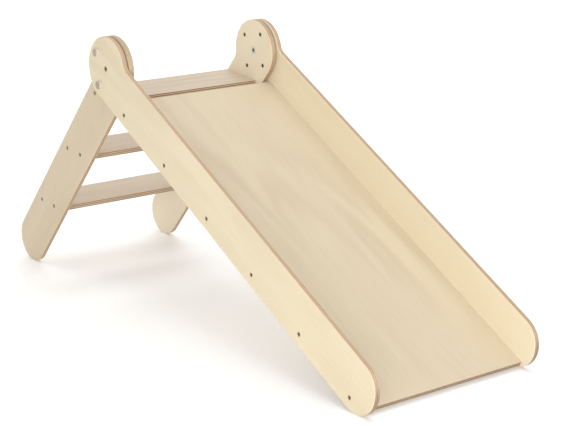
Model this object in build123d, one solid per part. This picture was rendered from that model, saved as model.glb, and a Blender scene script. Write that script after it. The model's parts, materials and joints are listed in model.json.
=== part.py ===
from build123d import *

import os
from math import asin, atan, cos, degrees, hypot, radians, sin, sqrt

# A folding toddler slide made of birch plywood. Two long rails carry the slide
# board, and a ladder with a platform and two steps turns on a steel hinge in the
# rails' round heads. X runs across the slide, +Y towards the ladder and +Z up.
# The origin is on the floor, under the middle of the whole slide.

# ---- driving dimensions, millimetres and degrees ----
OVERALL_WIDTH = 428.0  # over the outer faces of the two rails
PIVOT_HEIGHT = 527.0  # hinge axis above the floor
PLY = 12.0  # thickness of every plywood panel
HEAD_RADIUS = 70.5  # round head of a rail or a leg, centred on the hinge
BAND_WIDTH = 110.0  # width of a rail, a leg, a step and the platform
RAIL_LENGTH = 967.0  # hinge to the centre of the rail's round lower end
LEG_LENGTH = 611.0  # hinge to the centre of the leg's round foot
NECK_RADIUS = 30.0  # hollow corner between the head and the straight edge
HINGE_GAP = 5.0  # between a rail and the leg inside it
EDGE_EASE = 2.0  # round-over along the outline of rails and legs
TREAD_EASE = 1.2  # round-over along the long edges of board, platform and steps

BOARD_START = 68.0  # hinge to the upper end of the slide board, along the rail
BOARD_END = 1004.0  # hinge to the lower end of the slide board, along the rail
BOARD_DROP = 47.5  # middle of the board's thickness below the hinge

TREAD_ANGLE = 54.5  # between a step and the leg's length
TREAD_START = 72.5  # hinge to the platform's top face, along the leg's middle line
TREAD_PITCH = 196.0  # from one tread to the next, along the leg
TREADS = ("platform", "upper_step", "lower_step")
TREAD_SCREW_SPACING = 56.0

BOARD_SCREW_START = 104.0  # hinge to the first board screw, along the rail
BOARD_SCREW_PITCH = 172.0
BOARD_SCREWS = 6

SCREW_HEAD_RADIUS = 4.5
SCREW_HEAD_HEIGHT = 3.0
SCREW_SHANK_RADIUS = 2.3
SCREW_LENGTH = 42.0
SCREW_SINK = 0.8  # head below the wood's face
SOCKET_WIDTH = 4.0  # hexagon socket, across flats
SOCKET_DEPTH = 2.2
PILOT_EXTRA = 2.0  # pilot hole beyond the screw's tip
CLEARANCE = 0.05  # radial, between a fastener and its hole

PLATE_THICKNESS = 2.0  # both steel plates of the hinge
PLATE_RADIUS = 62.0
RAIL_PLATE_WAIST = 53.0  # radius of the rail plate where the stop lug sweeps past
STOP_LUG_HALF_ANGLE = 6.0
STOP_CLEARANCE = 0.3  # degrees left between the lug and each stop
STOP_LUG_REACH = 2.4  # how far the lug stands off the leg plate
STOP_LUG_ROOT = 55.0  # inner radius of the lug
PLATE_HOLE_CIRCLE = 46.8  # radius through the four fixing screws
PLATE_HOLE_SPREAD = 40.2  # half the angle between two near fixing screws
PLATE_HOLE_AXIS = 132.0  # middle of a near pair, from the leg's length
WASHER_THICKNESS = 0.9
WASHER_RADIUS = 14.0

PLATE_SCREW_SHANK = 2.5
STUD_RADIUS = 3.0
STUD_HEAD_RADIUS = 5.0
STUD_HEAD_HEIGHT = 1.2
CAP_RADIUS = 9.0
CAP_HEIGHT = 6.0
CAP_EASE = 0.8
CAP_WALL = 1.6  # closed end of the cap nut

BOLT_RADIUS = 4.0
BOLT_HEAD_RADIUS = 6.0
BOLT_HEAD_HEIGHT = 4.5
BOLT_SOCKET_WIDTH = 5.0
BOLT_TIP_GAP = 4.0  # bolt tip short of the sleeve's flange
SLEEVE_RADIUS = 6.0
SLEEVE_FLANGE_RADIUS = 8.0
SLEEVE_FLANGE_HEIGHT = 1.4

# ---- worked out from the driving dimensions ----
HALF_BAND = BAND_WIDTH / 2
CENTRE_OFFSET = HALF_BAND - HEAD_RADIUS  # a panel's middle line beside the hinge
TOP_EDGE = CENTRE_OFFSET + HALF_BAND


def resting_angle(length):
    """Slope at which a panel's round end just touches the floor."""
    drop = PIVOT_HEIGHT - HALF_BAND
    return degrees(asin(drop / hypot(length, CENTRE_OFFSET)) + atan(CENTRE_OFFSET / length))


RAIL_SLOPE = resting_angle(RAIL_LENGTH)
LEG_SLOPE = resting_angle(LEG_LENGTH)
OPEN_ANGLE = 180 - RAIL_SLOPE - LEG_SLOPE
FOLD_TRAVEL = 360 - OPEN_ANGLE  # over the top, until the ladder lies on the board

RAIL_ALONG = Vector(0, -cos(radians(RAIL_SLOPE)), -sin(radians(RAIL_SLOPE)))
RAIL_ABOVE = Vector(0, -sin(radians(RAIL_SLOPE)), cos(radians(RAIL_SLOPE)))
LEG_ALONG = Vector(0, cos(radians(LEG_SLOPE)), -sin(radians(LEG_SLOPE)))
LEG_ABOVE = Vector(0, sin(radians(LEG_SLOPE)), cos(radians(LEG_SLOPE)))

FRONT_REACH = -(RAIL_ALONG * RAIL_LENGTH + RAIL_ABOVE * CENTRE_OFFSET).Y + HALF_BAND
BACK_REACH = (LEG_ALONG * LEG_LENGTH + LEG_ABOVE * CENTRE_OFFSET).Y + HALF_BAND
PIVOT = Vector(0, (FRONT_REACH - BACK_REACH) / 2, PIVOT_HEIGHT)

RAIL_OUTER = OVERALL_WIDTH / 2
RAIL_INNER = RAIL_OUTER - PLY
LEG_OUTER = RAIL_INNER - HINGE_GAP
LEG_INNER = LEG_OUTER - PLY

TREAD_TILT = TREAD_ANGLE - LEG_SLOPE  # a tread rises this much towards the back
TREAD_BACKWARD = Vector(0, cos(radians(TREAD_TILT)), sin(radians(TREAD_TILT)))
TREAD_UPWARD = Vector(0, -sin(radians(TREAD_TILT)), cos(radians(TREAD_TILT)))
TREAD_SHIFT = HALF_BAND / sin(radians(TREAD_ANGLE)) - HALF_BAND  # back edge flush

SCREW_HOLE_DEPTH = SCREW_LENGTH + PILOT_EXTRA
FRONT_FIXING_ANGLES = (
    PLATE_HOLE_AXIS + PLATE_HOLE_SPREAD,
    PLATE_HOLE_AXIS - PLATE_HOLE_SPREAD - 180,
)
REAR_FIXING_ANGLES = (
    PLATE_HOLE_AXIS - PLATE_HOLE_SPREAD,
    PLATE_HOLE_AXIS + PLATE_HOLE_SPREAD - 180,
)


def on_rail(along, above, x=0.0):
    """Point given along and above the rail, from the hinge axis."""
    return PIVOT + RAIL_ALONG * along + RAIL_ABOVE * above + Vector(x, 0, 0)


def on_leg(along, above, x=0.0):
    """Point given along and above the leg, from the hinge axis."""
    return PIVOT + LEG_ALONG * along + LEG_ABOVE * above + Vector(x, 0, 0)


def fixing_point(angle, x):
    """Centre of a hinge fixing, by its angle from the leg's length."""
    turn = radians(angle)
    return on_leg(PLATE_HOLE_CIRCLE * cos(turn), PLATE_HOLE_CIRCLE * sin(turn), x)


def facing(point, outward):
    """Plane across X at a point: its normal is -X if outward, on the left side."""
    return Plane(origin=point, x_dir=(0, 1, 0), z_dir=(-1 if outward else 1, 0, 0))


def rod(radius, start, length):
    """Cylinder down from a face: it starts at depth start below the plane."""
    return Pos(0, 0, -start - length) * Cylinder(
        radius, length, align=(Align.CENTER, Align.CENTER, Align.MIN)
    )


def hexagon_socket(width, depth, start):
    """Hexagon socket that opens at depth start below the plane."""
    hexagon = RegularPolygon(width / 2, 6, major_radius=False)
    return Pos(0, 0, -start - depth) * extrude(hexagon, depth)


# ---- plywood panels ----
def panel_outline(length):
    """Round head, tangent lower edge, round end, and a hollow neck on the top edge."""
    neck_along = sqrt((HEAD_RADIUS + NECK_RADIUS) ** 2 - (TOP_EDGE + NECK_RADIUS) ** 2)
    neck = Vector(neck_along, TOP_EDGE + NECK_RADIUS)
    leaves_head = neck * (HEAD_RADIUS / (HEAD_RADIUS + NECK_RADIUS))
    meets_edge = Vector(neck_along, TOP_EDGE)
    towards_hollow = (leaves_head + meets_edge) * 0.5 - neck
    neck_middle = neck + towards_hollow.normalized() * NECK_RADIUS
    end_tip = Vector(length + HALF_BAND, CENTRE_OFFSET)
    edges = [
        Line((0, -HEAD_RADIUS), (length, -HEAD_RADIUS)),
        ThreePointArc((length, -HEAD_RADIUS), end_tip, (length, TOP_EDGE)),
        Line((length, TOP_EDGE), meets_edge),
        ThreePointArc(meets_edge, neck_middle, leaves_head),
        ThreePointArc(leaves_head, (-HEAD_RADIUS, 0), (0, -HEAD_RADIUS)),
    ]
    return make_face(edges)


def side_panel(length, along, inner_x):
    """Left-hand panel, from its inner face outwards, with its outline eased."""
    plane = Plane(origin=PIVOT + Vector(-inner_x, 0, 0), x_dir=along, z_dir=(-1, 0, 0))
    outline = panel_outline(length)
    if along.Y > 0:
        outline = mirror(outline, about=Plane.XZ)
    panel = extrude(plane * outline, PLY)
    return fillet(panel.faces().filter_by(Axis.X).edges(), EDGE_EASE)


def screw_recess():
    """Hole through a side panel, with a seat for the sunk screw head."""
    seat = rod(SCREW_HEAD_RADIUS + 4 * CLEARANCE, -1, 1 + SCREW_SINK + SCREW_HEAD_HEIGHT)
    shaft = rod(SCREW_SHANK_RADIUS + CLEARANCE, 0, PLY + 1)
    return seat + shaft


def board_screw_points(x):
    """Places of the board screws along one rail."""
    return [
        on_rail(BOARD_SCREW_START + i * BOARD_SCREW_PITCH, -BOARD_DROP, x)
        for i in range(BOARD_SCREWS)
    ]


def tread_centre(index, x=0.0):
    """Middle of a tread's thickness and depth."""
    top = on_leg(TREAD_START + index * TREAD_PITCH, CENTRE_OFFSET, x)
    return top + TREAD_BACKWARD * TREAD_SHIFT - TREAD_UPWARD * (PLY / 2)


def tread_screw_points(index, x):
    """Places of the two screws at one end of a tread."""
    reach = TREAD_BACKWARD * (TREAD_SCREW_SPACING / 2)
    return [tread_centre(index, x) + reach, tread_centre(index, x) - reach]


def left_rail():
    rail = side_panel(RAIL_LENGTH, RAIL_ALONG, RAIL_INNER)
    for point in board_screw_points(-RAIL_OUTER):
        rail -= facing(point, True) * screw_recess()
    head_face = facing(PIVOT + Vector(-RAIL_OUTER, 0, 0), True)
    rail -= head_face * rod(BOLT_HEAD_RADIUS + 4 * CLEARANCE, -1, 1 + SCREW_SINK + BOLT_HEAD_HEIGHT)
    rail -= head_face * rod(BOLT_RADIUS + CLEARANCE, 0, PLY + 1)
    for angle in REAR_FIXING_ANGLES:
        hole = rod(STUD_RADIUS + CLEARANCE, -1, PLY + 2)
        rail -= facing(fixing_point(angle, -RAIL_OUTER), True) * hole
    return rail


def left_leg():
    leg = side_panel(LEG_LENGTH, LEG_ALONG, LEG_INNER)
    for index in range(len(TREADS)):
        for point in tread_screw_points(index, -LEG_OUTER):
            leg -= facing(point, True) * screw_recess()
    for angle in FRONT_FIXING_ANGLES + REAR_FIXING_ANGLES:
        leg -= facing(fixing_point(angle, -LEG_INNER), False) * plate_screw_recess()
    bore_face = facing(PIVOT + Vector(-LEG_INNER, 0, 0), False)
    leg -= bore_face * rod(SLEEVE_RADIUS + CLEARANCE, -1, PLY + 2)
    leg -= bore_face * rod(SLEEVE_FLANGE_RADIUS + 0.3, -1, 1 + SLEEVE_FLANGE_HEIGHT + 0.1)
    return leg


def plate_screw_recess():
    """Hole through a leg for a screw that holds the hinge plate."""
    seat = rod(SCREW_HEAD_RADIUS + 4 * CLEARANCE, -1, 1 + SCREW_SINK + SCREW_HEAD_HEIGHT)
    return seat + rod(PLATE_SCREW_SHANK + CLEARANCE, 0, PLY + 1)


def eased_strip(length, width, across):
    """Plywood strip on its plane, with the four edges across the slide eased."""
    strip = Box(length, width, PLY)
    strip = fillet(strip.edges().filter_by(Axis.Y), TREAD_EASE)
    return across * strip


def pilot_holes(points, depth):
    """Blind holes along X into a strip's left end, from the side panel's face."""
    holes = [facing(point, True) * rod(SCREW_SHANK_RADIUS + CLEARANCE, 0, depth) for point in points]
    return holes + [mirror(hole, about=Plane.YZ) for hole in holes]


def slide_board():
    length = BOARD_END - BOARD_START
    middle = on_rail(BOARD_START + length / 2, -BOARD_DROP)
    plane = Plane(origin=middle, x_dir=RAIL_ALONG, z_dir=RAIL_ABOVE)
    board = eased_strip(length, 2 * RAIL_INNER, plane)
    for hole in pilot_holes(board_screw_points(-RAIL_OUTER), SCREW_HOLE_DEPTH):
        board -= hole
    return board


def tread(index):
    plane = Plane(origin=tread_centre(index), x_dir=TREAD_BACKWARD, z_dir=TREAD_UPWARD)
    strip = eased_strip(BAND_WIDTH, 2 * LEG_INNER, plane)
    for hole in pilot_holes(tread_screw_points(index, -LEG_OUTER), SCREW_HOLE_DEPTH):
        strip -= hole
    return strip


# ---- fasteners ----
def wood_screw():
    """Flat-headed furniture screw with a hexagon socket, pointing down from a face."""
    tip_length = 2 * SCREW_SHANK_RADIUS
    neck = SCREW_SINK + SCREW_HEAD_HEIGHT
    screw = rod(SCREW_HEAD_RADIUS, SCREW_SINK, SCREW_HEAD_HEIGHT)
    screw += rod(SCREW_SHANK_RADIUS, neck, SCREW_LENGTH - neck - tip_length)
    screw += Pos(0, 0, -SCREW_LENGTH) * Cone(
        0.4, SCREW_SHANK_RADIUS, tip_length, align=(Align.CENTER, Align.CENTER, Align.MIN)
    )
    return screw - hexagon_socket(SOCKET_WIDTH, SOCKET_DEPTH, SCREW_SINK)


def plate_screw():
    """Machine screw through the leg into the hinge plate, from the leg's inner face."""
    neck = SCREW_SINK + SCREW_HEAD_HEIGHT
    reach = PLY + PLATE_THICKNESS - 0.1
    screw = rod(SCREW_HEAD_RADIUS, SCREW_SINK, SCREW_HEAD_HEIGHT)
    screw += rod(PLATE_SCREW_SHANK, neck, reach - neck)
    return screw - hexagon_socket(SOCKET_WIDTH, SOCKET_DEPTH, SCREW_SINK)


def rail_stud():
    """Threaded stud, its flat head let into the rail plate, out through the rail."""
    head_top = PLY + PLATE_THICKNESS - 0.05
    stud = rod(STUD_HEAD_RADIUS, head_top - STUD_HEAD_HEIGHT, STUD_HEAD_HEIGHT)
    thread_top = CAP_HEIGHT - CAP_WALL - 0.5
    return stud + rod(STUD_RADIUS, -thread_top, thread_top + head_top - STUD_HEAD_HEIGHT)


def cap_nut():
    """Round blind nut that stands proud of the rail's outer face."""
    cap = rod(CAP_RADIUS, -CAP_HEIGHT, CAP_HEIGHT)
    cap = fillet(cap.edges().group_by(Axis.Z)[-1], CAP_EASE)
    return cap - rod(STUD_RADIUS + CLEARANCE, -(CAP_HEIGHT - CAP_WALL), CAP_HEIGHT)


def pivot_bolt():
    """Socket bolt from the rail's outer face into the sleeve."""
    tip = RAIL_OUTER - LEG_INNER - SLEEVE_FLANGE_HEIGHT - BOLT_TIP_GAP
    neck = SCREW_SINK + BOLT_HEAD_HEIGHT
    bolt = rod(BOLT_HEAD_RADIUS, SCREW_SINK, BOLT_HEAD_HEIGHT)
    bolt += rod(BOLT_RADIUS, neck, tip - neck)
    return bolt - hexagon_socket(BOLT_SOCKET_WIDTH, BOLT_HEAD_HEIGHT - 1.5, SCREW_SINK)


def pivot_sleeve():
    """Flanged sleeve nut that the leg turns on, from the leg's inner face to the rail."""
    sleeve = rod(SLEEVE_FLANGE_RADIUS, 0, SLEEVE_FLANGE_HEIGHT)
    sleeve += rod(SLEEVE_RADIUS, 0, RAIL_INNER - LEG_INNER)
    floor = SLEEVE_FLANGE_HEIGHT + 1.8
    sleeve -= rod(BOLT_RADIUS + CLEARANCE, floor, RAIL_INNER - LEG_INNER)
    return sleeve - hexagon_socket(BOLT_SOCKET_WIDTH, 2.2, 0)


# ---- hinge plates, built on a plane whose X is the leg's length ----
def sector(radius, middle, half_angle):
    """Pie slice of a disc about the hinge, in the leg's own angles."""
    start = Rot(0, 0, middle - half_angle) * Location((radius, 0, 0))
    end = Rot(0, 0, middle + half_angle) * Location((radius, 0, 0))
    centre = Rot(0, 0, middle) * Location((radius, 0, 0))
    arc = ThreePointArc(start.position, centre.position, end.position)
    return make_face([Line((0, 0), arc @ 0), arc, Line(arc @ 1, (0, 0))])


def hinge_plane(x):
    """Plane across X at the hinge, its X along the leg and its normal +X."""
    return Plane(origin=PIVOT + Vector(x, 0, 0), x_dir=LEG_ALONG, z_dir=(1, 0, 0))


def left_rail_plate():
    """Waisted disc whose full-width sector stops the lug at both ends of the fold."""
    stop_half = OPEN_ANGLE / 2 - STOP_LUG_HALF_ANGLE - STOP_CLEARANCE
    shape = Circle(RAIL_PLATE_WAIST) + sector(PLATE_RADIUS, -OPEN_ANGLE / 2, stop_half)
    plate = hinge_plane(-RAIL_INNER) * extrude(shape, PLATE_THICKNESS)
    plate -= facing(PIVOT + Vector(-RAIL_INNER, 0, 0), True) * rod(SLEEVE_RADIUS + CLEARANCE, -1, 9)
    for angle in REAR_FIXING_ANGLES:
        face = facing(fixing_point(angle, -RAIL_OUTER), True)
        plate -= face * rod(STUD_RADIUS + CLEARANCE, PLY - 1, PLATE_THICKNESS + 2)
        head_seat = PLY + PLATE_THICKNESS - 0.05 - STUD_HEAD_HEIGHT - CLEARANCE
        plate -= face * rod(STUD_HEAD_RADIUS + CLEARANCE, head_seat, STUD_HEAD_HEIGHT + 1)
    return plate


def left_leg_plate():
    """Round plate with a stop lug that stands towards the rail."""
    disc = hinge_plane(-LEG_OUTER - PLATE_THICKNESS) * extrude(Circle(PLATE_RADIUS), PLATE_THICKNESS)
    lug_face = sector(PLATE_RADIUS, 0, STOP_LUG_HALF_ANGLE) - Circle(STOP_LUG_ROOT)
    lug_start = -LEG_OUTER - PLATE_THICKNESS - STOP_LUG_REACH
    plate = disc + hinge_plane(lug_start) * extrude(lug_face, STOP_LUG_REACH)
    plate -= facing(PIVOT + Vector(-LEG_OUTER, 0, 0), True) * rod(SLEEVE_RADIUS + CLEARANCE, -5, 9)
    for angle in FRONT_FIXING_ANGLES + REAR_FIXING_ANGLES:
        hole = rod(PLATE_SCREW_SHANK + CLEARANCE, PLY - 1, PLATE_THICKNESS + 2)
        plate -= facing(fixing_point(angle, -LEG_INNER), False) * hole
    return plate


def left_thrust_washer():
    """Thin ring between the two plates."""
    start = -RAIL_INNER + PLATE_THICKNESS + 0.05
    ring = Circle(WASHER_RADIUS) - Circle(SLEEVE_RADIUS + CLEARANCE)
    return hinge_plane(start) * extrude(ring, WASHER_THICKNESS)


# ---- assembly: the left side is built, the right side is its mirror image ----
def group(solids):
    """Identical fasteners as one node of separate solids."""
    return Compound(children=solids)


def left_side():
    """Every node of the left side, by its name without the side."""
    outer_hinge = facing(PIVOT + Vector(-RAIL_OUTER, 0, 0), True)
    inner_hinge = facing(PIVOT + Vector(-LEG_INNER, 0, 0), False)
    fixings = FRONT_FIXING_ANGLES + REAR_FIXING_ANGLES
    stud_faces = [facing(fixing_point(a, -RAIL_OUTER), True) for a in REAR_FIXING_ANGLES]
    nodes = {
        "rail": [left_rail()],
        "leg": [left_leg()],
        "board_screws": [facing(p, True) * wood_screw() for p in board_screw_points(-RAIL_OUTER)],
        "rail_plate": [left_rail_plate()],
        "leg_plate": [left_leg_plate()],
        "plate_screws": [facing(fixing_point(a, -LEG_INNER), False) * plate_screw() for a in fixings],
        "rail_studs": [face * rail_stud() for face in stud_faces],
        "cap_nuts": [face * cap_nut() for face in stud_faces],
        "pivot_bolt": [outer_hinge * pivot_bolt()],
        "pivot_sleeve": [inner_hinge * pivot_sleeve()],
        "thrust_washer": [left_thrust_washer()],
    }
    for index, name in enumerate(TREADS):
        points = tread_screw_points(index, -LEG_OUTER)
        nodes[name + "_screws"] = [facing(point, True) * wood_screw() for point in points]
    return nodes


def write(name, solids):
    """One STEP file for a node."""
    shape = solids[0] if len(solids) == 1 else group(solids)
    export_step(shape, "parts/" + name + ".step")


os.makedirs("parts", exist_ok=True)
write("slide_board", [slide_board()])
for index, name in enumerate(TREADS):
    write(name, [tread(index)])
for name, solids in left_side().items():
    write("left_" + name, solids)
    write("right_" + name, [mirror(solid, about=Plane.YZ) for solid in solids])

print("rail slope", round(RAIL_SLOPE, 3), "leg slope", round(LEG_SLOPE, 3))
print("tread tilt", round(TREAD_TILT, 3))
print("pivot", PIVOT, "fold travel", round(FOLD_TRAVEL, 3))
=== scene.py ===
import json
import math
from collections import namedtuple

import bpy
import numpy as np
from bpy.props import FloatProperty, FloatVectorProperty, IntProperty, PointerProperty
from bpy.types import Operator, Panel, PropertyGroup
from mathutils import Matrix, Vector
from mathutils.geometry import delaunay_2d_cdt


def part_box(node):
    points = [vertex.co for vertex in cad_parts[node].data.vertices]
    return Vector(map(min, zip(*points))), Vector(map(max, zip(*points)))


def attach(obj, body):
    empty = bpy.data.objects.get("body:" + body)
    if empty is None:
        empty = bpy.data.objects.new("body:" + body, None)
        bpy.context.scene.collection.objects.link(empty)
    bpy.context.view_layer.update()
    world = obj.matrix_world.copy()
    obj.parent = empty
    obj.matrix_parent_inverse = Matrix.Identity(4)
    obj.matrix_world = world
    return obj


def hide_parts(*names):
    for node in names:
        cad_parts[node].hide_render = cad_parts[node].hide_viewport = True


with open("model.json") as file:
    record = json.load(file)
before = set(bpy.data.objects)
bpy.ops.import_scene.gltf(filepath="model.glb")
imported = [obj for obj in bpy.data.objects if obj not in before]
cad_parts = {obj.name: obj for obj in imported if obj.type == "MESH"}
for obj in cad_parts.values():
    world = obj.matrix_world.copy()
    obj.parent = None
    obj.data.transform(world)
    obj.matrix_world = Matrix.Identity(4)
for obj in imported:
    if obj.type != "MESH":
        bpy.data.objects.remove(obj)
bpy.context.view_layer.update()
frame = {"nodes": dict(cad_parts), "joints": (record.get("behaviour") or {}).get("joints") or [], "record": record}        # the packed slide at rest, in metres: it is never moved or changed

bl_info = {
    "name": "Toddler slide",
    "version": (1, 0, 0),
    "blender": (4, 5, 0),
    "location": "3D Viewport > Sidebar > Toddler slide",
    "description": "Builds the plywood panels, fasteners and studio of a folding toddler slide",
    "category": "Object",
}

# A folding toddler slide of birch plywood, made around its packed frame. X runs across
# the slide, +Y towards the ladder and +Z up. Lengths are in metres, angles in radians.

SIDES = {"left": -1.0, "right": 1.0}
TREADS = ("platform", "upper_step", "lower_step")
PANELS = ("left_rail", "right_rail", "left_leg", "right_leg", "slide_board", *TREADS)

ScrewRow = namedtuple("ScrewRow", "body count")
SCREW_ROWS = {"board_screws": ScrewRow("slide", 6)}
SCREW_ROWS.update({tread + "_screws": ScrewRow("ladder", 2) for tread in TREADS})


def node_box(node):
    """Lowest and highest corner of a packed node, as arrays."""
    low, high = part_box(node)
    return np.array(low, float), np.array(high, float)


def mount_axis(name):
    """Direction of one of the record's mounts."""
    mounts = {mount["name"]: mount for mount in frame["record"]["mounts"]}
    return np.array(mounts[name]["axis"], float)


HINGE = np.array(frame["joints"][0]["pos_m"], float)
RAIL_LOW, RAIL_HIGH = node_box("left_rail")
LEG_HIGH = node_box("left_leg")[1]
CAP_LOW = node_box("left_cap_nuts")[0]


# ---- sizes and colours that a user would change ----
def length(name, description, default):
    """A length property, in metres."""
    return FloatProperty(
        name=name, description=description, default=default, min=0.0, precision=5, unit="LENGTH"
    )


def colour(name, description, default):
    """A colour property, linear red, green and blue."""
    return FloatVectorProperty(
        name=name, description=description, default=default, size=3, min=0.0, max=1.0, subtype="COLOR"
    )


def degrees(name, description, default):
    """An angle property, given here in degrees and kept in radians."""
    return FloatProperty(
        name=name, description=description, default=math.radians(default), unit="ROTATION", subtype="ANGLE"
    )


def watts(name, description, default):
    """The power of a lamp."""
    return FloatProperty(name=name, description=description, default=default, min=0.0, unit="POWER")


class SlideTimber(PropertyGroup):
    """Sizes of the plywood panels."""

    ply: length("Plywood", "Thickness of every panel", round(RAIL_HIGH[0] - RAIL_LOW[0], 6))
    band: length("Band width", "Width of a rail, a leg and a tread", 0.110)
    head: length("Head radius", "Round head about the hinge", round(RAIL_HIGH[2] - HINGE[2], 6))
    neck: length("Neck radius", "Hollow corner between head and straight edge", 0.030)
    edge_ease: length("Panel easing", "Round-over along the outline of rails and legs", 0.002)
    tread_ease: length("Board easing", "Round-over along the board's and treads' edges", 0.0012)
    arris: length("Hole arris", "Small bevel at the mouth of a screw hole", 0.0003)
    face_veneer: length("Face veneer", "Thickness of the two outermost plies", 0.0009)


class SlideHardware(PropertyGroup):
    """Sizes of the fasteners."""

    head: length("Screw head radius", "Wood screws and plate screws", 0.0045)
    head_height: length("Screw head height", "Height of the flat head", 0.0030)
    shank: length("Screw shank radius", "Radius over the thread", 0.0023)
    screw: length("Screw length", "Wood screw, from the wood's face to its tip", 0.042)
    thread: length("Thread pitch", "Rise of the thread in one turn", 0.0024)
    sink: length("Sink", "Heads lie this far below the wood", 0.0008)
    socket: length("Socket width", "Hexagon socket of a screw, across flats", 0.004)
    socket_depth: length("Socket depth", "Hexagon socket of a screw", 0.0022)
    head_arris: length("Head arris", "Small bevel round a head and its socket", 0.0003)
    play: length("Hole play", "Ring of air about a screw head", 0.0002)
    plate_shank: length("Plate screw shank", "Radius of the screws in the hinge plate", 0.0025)
    plate_bite: length("Plate screw bite", "How far a plate screw reaches beyond the leg", 0.0019)
    plate_tip: length("Plate screw tip", "Bevel at the tip of a plate screw", 0.0004)
    stud: length("Stud radius", "Studs under the cap nuts", 0.0030)
    cap: length("Cap radius", "Round cap nuts on the rails", 0.009)
    cap_height: length("Cap height", "Cap nut above the wood", round(RAIL_LOW[0] - CAP_LOW[0], 6))
    bolt: length("Bolt radius", "Shank of the hinge bolt", 0.004)
    bolt_head: length("Bolt head radius", "Head of the hinge bolt", 0.006)
    bolt_head_height: length("Bolt head height", "Head of the hinge bolt", 0.0045)
    bolt_socket: length("Bolt socket width", "Hexagon of bolt and sleeve, across flats", 0.005)
    bolt_socket_depth: length("Bolt socket depth", "Hexagon socket of the hinge bolt", 0.003)
    bolt_tip: length("Bolt tip", "Bevel at the tip of the hinge bolt", 0.0006)
    sleeve: length("Sleeve radius", "Sleeve nut that the leg turns on", 0.006)
    sleeve_socket_depth: length("Sleeve socket depth", "Hexagon socket of the sleeve nut", 0.0022)
    sleeve_bore_depth: length("Sleeve bore depth", "Flange face to the bolt's bore", 0.0034)
    countersink: length("Countersink radius", "Cone round the sleeve's socket", 0.0048)
    countersink_depth: length("Countersink depth", "Cone round the sleeve's socket", 0.0008)
    flange: length("Flange radius", "Flange of the sleeve nut", 0.008)
    flange_height: length("Flange height", "Flange of the sleeve nut", 0.0014)
    flange_arris: length("Flange arris", "Small bevel round the flange", 0.0002)
    flange_seat: length("Flange seat", "Air under the sleeve's flange", 0.0001)
    fixing_circle: length("Fixing circle", "Radius through the four fixings of a head", 0.0468)
    fixing_axis: degrees("Fixing axis", "Middle of two near fixings, from the leg's length", 132.0)
    fixing_spread: degrees("Fixing spread", "Half the angle between two near fixings", 40.2)
    facets: IntProperty(
        name="Facets", description="Sides of a round fastener, a multiple of six", default=48, min=12
    )


class SlideFinish(PropertyGroup):
    """Colours of wood, metal and plastic."""

    rail_pale: colour("Rail, pale wood", "Lightest tone of the rails' veneer", (0.640, 0.556, 0.386))
    rail_deep: colour("Rail, deep wood", "Deepest tone of the rails' veneer", (0.548, 0.458, 0.305))
    # Painted shade: the legs' tones are set darker than the rails' for the shade that falls on the legs.
    leg_pale: colour("Leg, pale wood", "Lightest tone of the legs' veneer", (0.552, 0.468, 0.326))
    leg_deep: colour("Leg, deep wood", "Deepest tone of the legs' veneer", (0.473, 0.380, 0.249))
    board_pale: colour("Board, pale wood", "Lightest tone of the board's veneer", (0.632, 0.541, 0.391))
    board_deep: colour("Board, deep wood", "Deepest tone of the board's veneer", (0.546, 0.446, 0.307))
    tread_pale: colour("Tread, pale wood", "Lightest tone of the treads' veneer", (0.604, 0.506, 0.385))
    tread_deep: colour("Tread, deep wood", "Deepest tone of the treads' veneer", (0.520, 0.416, 0.304))
    # Painted light: this pale tone is mixed into the right rail and the right leg by the shares below, to
    # light their inner faces.
    veneer: colour("Palest veneer", "Mixed into the right rail and the right leg", (0.82, 0.72, 0.54))
    right_rail: FloatProperty(
        name="Right rail", description="Share of the palest veneer", default=0.42, subtype="FACTOR"
    )
    right_leg: FloatProperty(
        name="Right leg", description="Share of the palest veneer", default=0.55, subtype="FACTOR"
    )
    edge_long: colour("Edge, long grain", "Plies cut along their grain", (0.690, 0.510, 0.335))
    edge_end: colour("Edge, end grain", "Plies cut across their grain", (0.150, 0.085, 0.044))
    glue: colour("Glue line", "Thin line between two plies", (0.20, 0.12, 0.07))
    pore: colour("Pore", "Fine dashes in the veneer", (0.50, 0.36, 0.22))
    blackened: colour("Blackened steel", "Heads of the hinge plate screws", (0.170, 0.120, 0.080))
    bronzed: colour("Bronzed steel", "Heads of the board screws and hinge bolts", (0.42, 0.31, 0.21))
    # Painted shade: the hexagon sockets are coloured near black for the shade inside them.
    socket: colour("Socket steel", "Inside of the hexagon sockets", (0.045, 0.032, 0.024))
    zinc: colour("Zinc", "Plated plates, studs and sleeves", (0.400, 0.350, 0.290))
    zinc_dull: colour("Dull zinc", "Patches of the plating, and step screws", (0.270, 0.235, 0.190))
    # Painted light and shade: the cap's side is coloured lighter and its face darker for how the light
    # falls on them.
    cap_side: colour("Cap, side", "Side of a cap nut", (0.620, 0.560, 0.480))
    cap_face: colour("Cap, face", "Flat face of a cap nut", (0.370, 0.310, 0.245))
    nylon: colour("Nylon", "Thrust washers", (0.78, 0.76, 0.70))
    floor: colour("Floor", "Pale studio floor", (0.920, 0.920, 0.920))


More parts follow.
